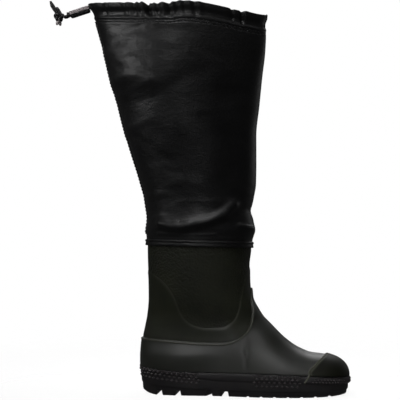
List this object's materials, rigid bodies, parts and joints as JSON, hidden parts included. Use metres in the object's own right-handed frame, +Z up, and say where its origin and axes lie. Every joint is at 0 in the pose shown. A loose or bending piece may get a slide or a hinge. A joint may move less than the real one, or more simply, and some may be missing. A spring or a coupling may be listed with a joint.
{
  "type": "rubber boot",
  "caption": "Right rubber boot: moulded rubber foot with a toe cap, lugged sole, and a tall soft coated-cloth shaft closed at its rim by a drawcord with a cord lock.",
  "frame": {"origin": "on the floor, under the middle of the boot without its drawcord", "axes": "+X to the toe, +Y to the inner side of the foot, +Z up"},
  "size_m": [0.3981, 0.124, 0.5172],
  "materials": {
    "sole_rubber": "matte black rubber with a studded side",
    "insole_felt": "pressed grey felt",
    "olive_rubber": "satin dark olive moulded rubber",
    "coated_cloth": "black cloth with a soft leather-like coating",
    "dark_plastic": "dark grey moulded plastic",
    "cord_braid": "black braided cord"
  },
  "bodies": {
    "root": {"outsole": "sole_rubber", "insole": "insole_felt", "upper": "olive_rubber", "toe_cap": "olive_rubber", "gaiter": "coated_cloth", "gaiter_binding": "coated_cloth", "back_seam_tape": "coated_cloth", "cord_lock": "dark_plastic", "drawcord_outer": "cord_braid", "drawcord_inner": "cord_braid", "drawcord_knot": "cord_braid"}
  },
  "joints": []
}
